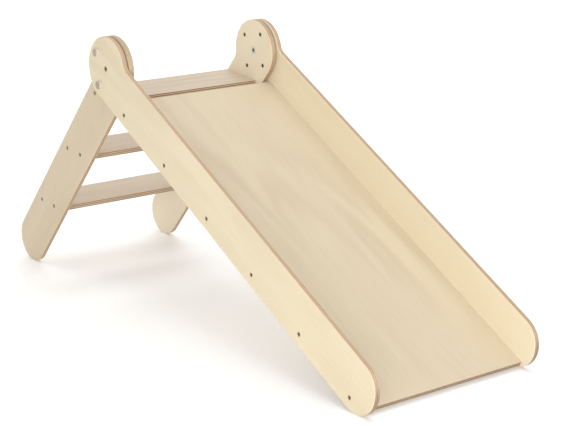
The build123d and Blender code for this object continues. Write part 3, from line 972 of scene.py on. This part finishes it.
def socket_head(hardware, radius, height, socket, depth):
    """Profile, hexagon rings and skins of a flat head with bevelled rims and a hexagon
    socket, from the socket's floor out over the head and down to its underside."""
    flat, sink, arris = socket / 2, hardware.sink, hardware.head_arris
    profile = [
        (0.0, -sink - depth), (flat, -sink - depth), (flat, -sink - arris), (flat + arris, -sink),
        (radius - arris, -sink), (radius, -sink - arris), (radius, -sink - height),
    ]
    return profile, (1, 2, 3), [1, 1, 1, 0, 0, 0]


def screw_head(hardware):
    """Socket head that the wood screws and the plate screws share."""
    return socket_head(
        hardware, hardware.head, hardware.head_height, hardware.socket, hardware.socket_depth
    )


def plain_shank(radius, neck, tip, bevel):
    """Profile of a smooth shank below a head, down to its bevelled tip."""
    return [(radius, -neck), (radius, -tip + bevel), (radius - bevel, -tip), (0.0, -tip)]


def wood_screw(hardware, turn, facets=24, rows_a_turn=4, core=0.72):
    """Flat-headed wood screw with a hexagon socket and a cut thread. The thread is a grid of
    angle and height whose radius falls from the crest to the core with the distance from
    the nearest turn of a helix, and tapers to a point over its last two diameters."""
    profile, hexagons, skins = screw_head(hardware)
    neck = hardware.sink + hardware.head_height
    profile += [(hardware.shank, -neck)]
    head = turned(profile, facets, hexagons=hexagons, skins=skins + [0], turn=turn)
    rows = round((hardware.screw - neck) / hardware.thread * rows_a_turn) + 1
    down = np.linspace(neck, hardware.screw, rows)
    angle = np.arange(facets) / facets * math.tau
    phase = down[None, :] / hardware.thread - angle[:, None] / math.tau
    crest = 1 - 2 * np.abs(phase % 1 - 0.5)
    taper = np.minimum((hardware.screw - down) / (2 * hardware.shank), 1.0)
    radius = hardware.shank * taper * (core + (1 - core) * crest)
    radius[:, 0] = hardware.shank
    radius[:, -1] = 0.0
    facing = np.stack([np.cos(angle + turn), np.sin(angle + turn)], axis=1)
    grid = np.concatenate(
        [facing[:, None, :] * radius[..., None], np.broadcast_to(-down, radius.shape)[..., None]], axis=2
    )
    outward = np.zeros_like(grid)
    outward[..., :2] = facing[:, None, :]
    faces = lattice(facets, rows)
    thread = Shell(grid.reshape(-1, 3), faces, outward.reshape(-1, 3), np.zeros(len(faces), int))
    return joined([head, thread])


def plate_screw(timber, hardware, turn, facets=24):
    """Machine screw through a leg into the hinge plate."""
    profile, hexagons, skins = screw_head(hardware)
    neck = hardware.sink + hardware.head_height
    tip = timber.ply + hardware.plate_bite
    profile += plain_shank(hardware.plate_shank, neck, tip, hardware.plate_tip)
    return turned(profile, facets, hexagons=hexagons, skins=skins + [0, 0, 0, 0], turn=turn)


def cap_nut(hardware):
    """Round cap nut: a face painted darker as painted shade, hardly dished within its rounded
    rim, and a side painted lighter as painted light, with a fine groove near the wood."""
    top, radius = hardware.cap_height, hardware.cap
    dish, rim, fall, groove = 0.0002, 0.0013, 0.0009, 0.0003
    profile = [
        (0.0, top - dish), (radius - rim - groove, top - dish), (radius - rim, top),
        (radius - 0.0006, top - 0.0001), (radius - 0.0002, top - 0.0004), (radius, top - fall),
        (radius, 3 * groove), (radius - groove, 2 * groove), (radius - groove, 0.0), (0.0, 0.0),
    ]
    skins = [1, 1, 1, 1, 0, 0, 0, 0, 0]
    return turned(profile, hardware.facets, skins=skins)


def hinge_bolt(hardware, x_outer, x_tip):
    """Socket bolt from the rail's outer face into the sleeve."""
    profile, hexagons, skins = socket_head(
        hardware, hardware.bolt_head, hardware.bolt_head_height, hardware.bolt_socket,
        hardware.bolt_socket_depth,
    )
    neck = hardware.sink + hardware.bolt_head_height
    profile += plain_shank(hardware.bolt, neck, x_outer - x_tip, hardware.bolt_tip)
    return turned(profile, hardware.facets, hexagons=hexagons, skins=skins + [0, 0, 0, 0])


def sleeve_nut(hardware, run):
    """Flanged sleeve from the leg's inner face, countersunk round a hexagon socket."""
    flat, arris = hardware.bolt_socket / 2, hardware.flange_arris
    profile = [
        (0.0, -hardware.sleeve_socket_depth), (flat, -hardware.sleeve_socket_depth),
        (flat, -hardware.countersink_depth), (hardware.countersink, 0.0),
        (hardware.flange - arris, 0.0), (hardware.flange, -arris),
        (hardware.flange, -hardware.flange_height), (hardware.sleeve, -hardware.flange_height),
        (hardware.sleeve, -run), (hardware.bolt, -run),
        (hardware.bolt, -hardware.sleeve_bore_depth), (0.0, -hardware.sleeve_bore_depth),
    ]
    skins = [1, 1, 1, 0, 0, 0, 0, 0, 0, 0, 0]
    return turned(profile, hardware.facets, hexagons=(1, 2), skins=skins)


class SLIDE_OT_wood_screws(Operator):
    """Wood screws through rails and legs into the board, the platform and the steps"""

    bl_idname = "slide.wood_screws"
    bl_label = "Wood screws"

    def execute(self, context):
        _, hardware, finish = choices()
        board_skins = [bronzed_steel(finish), socket_steel(finish)]
        tread_skins = [dull_zinc_steel(finish), bronzed_steel(finish)]
        kinds = {
            "slide": ("_rail", "black_steel", board_skins), "ladder": ("_leg", "zinc_steel", tread_skins)
        }
        for side, direction in SIDES.items():
            for row, (body, count) in SCREW_ROWS.items():
                part, slot, skins = kinds[body]
                low, high = node_box(side + part)
                x = low[0] if direction < 0 else high[0]
                spots = row_of_heads(side, row, hardware)
                screws = [wood_screw(hardware, SOCKET_TURN * i) for i in range(count)]
                shell = at_places(screws, sideways(spots, x, direction))
                node = side + "_" + row
                piece = make_piece(node.replace("screws", "wood_screws"), shell, skins)
                settle(piece, body, node)
        return {"FINISHED"}


class SLIDE_OT_plate_screws(Operator):
    """Four screws in each leg's head that hold the hinge plate"""

    bl_idname = "slide.plate_screws"
    bl_label = "Hinge plate screws"

    def execute(self, context):
        timber, hardware, finish = choices()
        spots = fixing_spots(hardware, timber, True)
        for side, direction in SIDES.items():
            low, high = node_box(side + "_leg")
            x = high[0] if direction < 0 else low[0]
            screws = [plate_screw(timber, hardware, SOCKET_TURN * i) for i in range(len(spots))]
            shell = at_places(screws, sideways(spots, x, -direction))
            skins = [blackened_steel(finish), socket_steel(finish)]
            piece = make_piece(side + "_hinge_screws", shell, skins)
            settle(piece, "ladder", side + "_plate_screws")
        return {"FINISHED"}


class SLIDE_OT_cap_nuts(Operator):
    """Round cap nuts on the rails' outer faces"""

    bl_idname = "slide.cap_nuts"
    bl_label = "Cap nuts"

    def execute(self, context):
        timber, hardware, finish = choices()
        spots = fixing_spots(hardware, timber, False)
        for side, direction in SIDES.items():
            low, high = node_box(side + "_rail")
            x = low[0] if direction < 0 else high[0]
            shell = at_places([cap_nut(hardware)] * len(spots), sideways(spots, x, direction))
            skins = [painted_light_cap_wall(finish), painted_shade_cap_top(finish)]
            piece = make_piece(side + "_round_caps", shell, skins)
            settle(piece, "slide", side + "_cap_nuts")
        return {"FINISHED"}


class SLIDE_OT_hinge_bolts(Operator):
    """The hinge's bolts and the sleeves that the legs turn on"""

    bl_idname = "slide.hinge_bolts"
    bl_label = "Hinge bolts and sleeves"

    def execute(self, context):
        _, hardware, finish = choices()
        for side, direction in SIDES.items():
            rail = np.abs(np.array(node_box(side + "_rail"))[:, 0])
            leg = np.abs(np.array(node_box(side + "_leg"))[:, 0])
            bolt_ends = np.abs(np.array(node_box(side + "_pivot_bolt"))[:, 0])
            bolt = hinge_bolt(hardware, rail.max(), bolt_ends.min())
            sleeve = sleeve_nut(hardware, rail.min() - leg.min())
            outer = sideways([HINGE[1:]], direction * rail.max(), direction)
            inner = sideways([HINGE[1:]], direction * leg.min(), -direction)
            dark = [bronzed_steel(finish), socket_steel(finish)]
            bright = [zinc_steel(finish), dull_zinc_steel(finish)]
            piece = make_piece(side + "_hinge_bolt", at_places([bolt], outer), dark)
            settle(piece, "slide", side + "_pivot_bolt")
            piece = make_piece(side + "_hinge_sleeve", at_places([sleeve], inner), bright)
            settle(piece, "slide", side + "_pivot_sleeve")
        return {"FINISHED"}


class SLIDE_OT_hinge_plates(Operator):
    """Finishes for the packed plates, studs and washers inside the hinge"""

    bl_idname = "slide.hinge_plates"
    bl_label = "Hinge plates and washers"

    def execute(self, context):
        _, _, finish = choices()
        nylon = plastic("nylon", finish.nylon, darker(finish.nylon, 0.92), 0.45)
        finishes = {
            "rail_plate": zinc_steel(finish), "leg_plate": zinc_steel(finish),
            "rail_studs": zinc_steel(finish), "thrust_washer": nylon,
        }
        for side in SIDES:
            for part, material in finishes.items():
                mesh = frame["nodes"][side + "_" + part].data
                mesh.materials.clear()
                mesh.materials.append(material)
        return {"FINISHED"}


# ---- studio ----
FLOOR_HEIGHT = -0.0002  # a hair below the feet, so that the two don't coincide
FLOOR_RINGS = (0.0, 1.0, 3.0, 14.0)
FLOOR_SIDES = 96
WHITE = (1.0, 1.0, 1.0, 1.0)


def floor_material(finish, glow):
    """Pale painted floor, hardly mottled, that glows faintly as a lit sweep does."""
    floor = Recipe("studio_floor")
    place = floor.object_place()
    cloud = floor.noise(place, 0.7, 0.0)
    fine = floor.noise(place, 60.0, 1.0)
    colour = floor.mix(cloud, finish.floor, darker(finish.floor, 0.98))
    matt = floor.math("MULTIPLY_ADD", fine, 0.1, 0.6)
    return floor.finish(colour, matt, fine, 0.00002, Emission_Color=WHITE, Emission_Strength=glow)


def soft_light(name, location, aim, size, power, mirrored=True):
    """A large rectangular light that faces a point, and shows in glossy things or not."""
    light = bpy.data.lights.new(name, "AREA")
    light.shape = "RECTANGLE"
    light.size, light.size_y = size
    light.energy = power
    lamp = bpy.data.objects.new(name, light)
    lamp.location = location
    lamp.visible_glossy = mirrored
    lamp.rotation_euler = (Vector(aim) - Vector(location)).to_track_quat("-Z", "Y").to_euler()
    bpy.context.scene.collection.objects.link(lamp)


class SLIDE_OT_studio(Operator):
    """Pale floor, white surround, soft lights and the camera"""

    bl_idname = "slide.studio"
    bl_label = "Studio"

    def execute(self, context):
        scene = context.scene
        studio, finish = scene.slide_studio, scene.slide_finish
        disc = turned([(reach, FLOOR_HEIGHT) for reach in FLOOR_RINGS], FLOOR_SIDES)
        make_piece("floor", disc, [floor_material(finish, studio.glow)])

        world = bpy.data.worlds.new("Surround")
        scene.world = world
        world.use_nodes = True
        surround = world.node_tree.nodes["Background"].inputs
        surround["Color"].default_value = WHITE
        surround["Strength"].default_value = studio.sky

        aim = (0.0, 0.0, 0.25)
        soft_light("Side", (-3.0, -2.4, 0.9), aim, (2.6, 1.4), studio.side)
        soft_light("Front", (-1.2, -3.6, 0.9), aim, (2.0, 1.2), studio.front)
        soft_light("Top", (0.2, 0.0, 3.4), aim, (2.8, 2.8), studio.top)
        soft_light("Rear", (3.4, 3.8, 3.2), aim, (3.0, 2.4), studio.rear, False)
        far_floor = (3.2, 4.4, 0.0)
        soft_light("Backdrop", (3.2, 4.4, 3.2), far_floor, (5.0, 3.6), studio.backdrop, False)

        camera = bpy.data.cameras.new("Camera")
        camera.lens = studio.lens
        camera.sensor_width = 36.0
        camera.clip_start = 0.05
        camera.clip_end = 60.0
        viewer = bpy.data.objects.new("Camera", camera)
        turn, rise = studio.azimuth, studio.elevation
        back = Vector((
            math.sin(turn) * math.cos(rise), -math.cos(turn) * math.cos(rise), math.sin(rise)
        ))
        viewer.location = Vector(studio.target) + back * studio.distance
        viewer.rotation_euler = (-back).to_track_quat("-Z", "Y").to_euler()
        scene.collection.objects.link(viewer)
        scene.camera = viewer
        scene.view_settings.view_transform = "Standard"
        return {"FINISHED"}


OPERATORS = (
    SLIDE_OT_rails, SLIDE_OT_legs, SLIDE_OT_board, SLIDE_OT_treads, SLIDE_OT_wood_screws,
    SLIDE_OT_plate_screws, SLIDE_OT_cap_nuts, SLIDE_OT_hinge_bolts, SLIDE_OT_hinge_plates,
    SLIDE_OT_studio,
)


class SLIDE_PT_pieces(Panel):
    """Lists the slide's sizes and the operators that build its pieces"""

    bl_idname = "SLIDE_PT_pieces"
    bl_label = "Toddler slide"
    bl_space_type = "VIEW_3D"
    bl_region_type = "UI"
    bl_category = "Toddler slide"

    def draw(self, context):
        for operator in OPERATORS:
            self.layout.operator(operator.bl_idname)
        for group, kind in GROUPS.items():
            box = self.layout.box()
            box.label(text=kind.__doc__)
            for name in kind.__annotations__:
                box.prop(getattr(context.scene, group), name)


def register():
    for kind in (*GROUPS.values(), *OPERATORS, SLIDE_PT_pieces):
        bpy.utils.register_class(kind)
    for name, kind in GROUPS.items():
        setattr(bpy.types.Scene, name, PointerProperty(type=kind))


def unregister():
    for name in GROUPS:
        delattr(bpy.types.Scene, name)
    for kind in (SLIDE_PT_pieces, *reversed(OPERATORS), *reversed(GROUPS.values())):
        bpy.utils.unregister_class(kind)


def main():
    """Builds every piece and the studio."""
    register()
    for operator in OPERATORS:
        group, name = operator.bl_idname.split(".")
        getattr(getattr(bpy.ops, group), name)()
    bpy.context.view_layer.update()


if __name__ == "__main__":
    main()
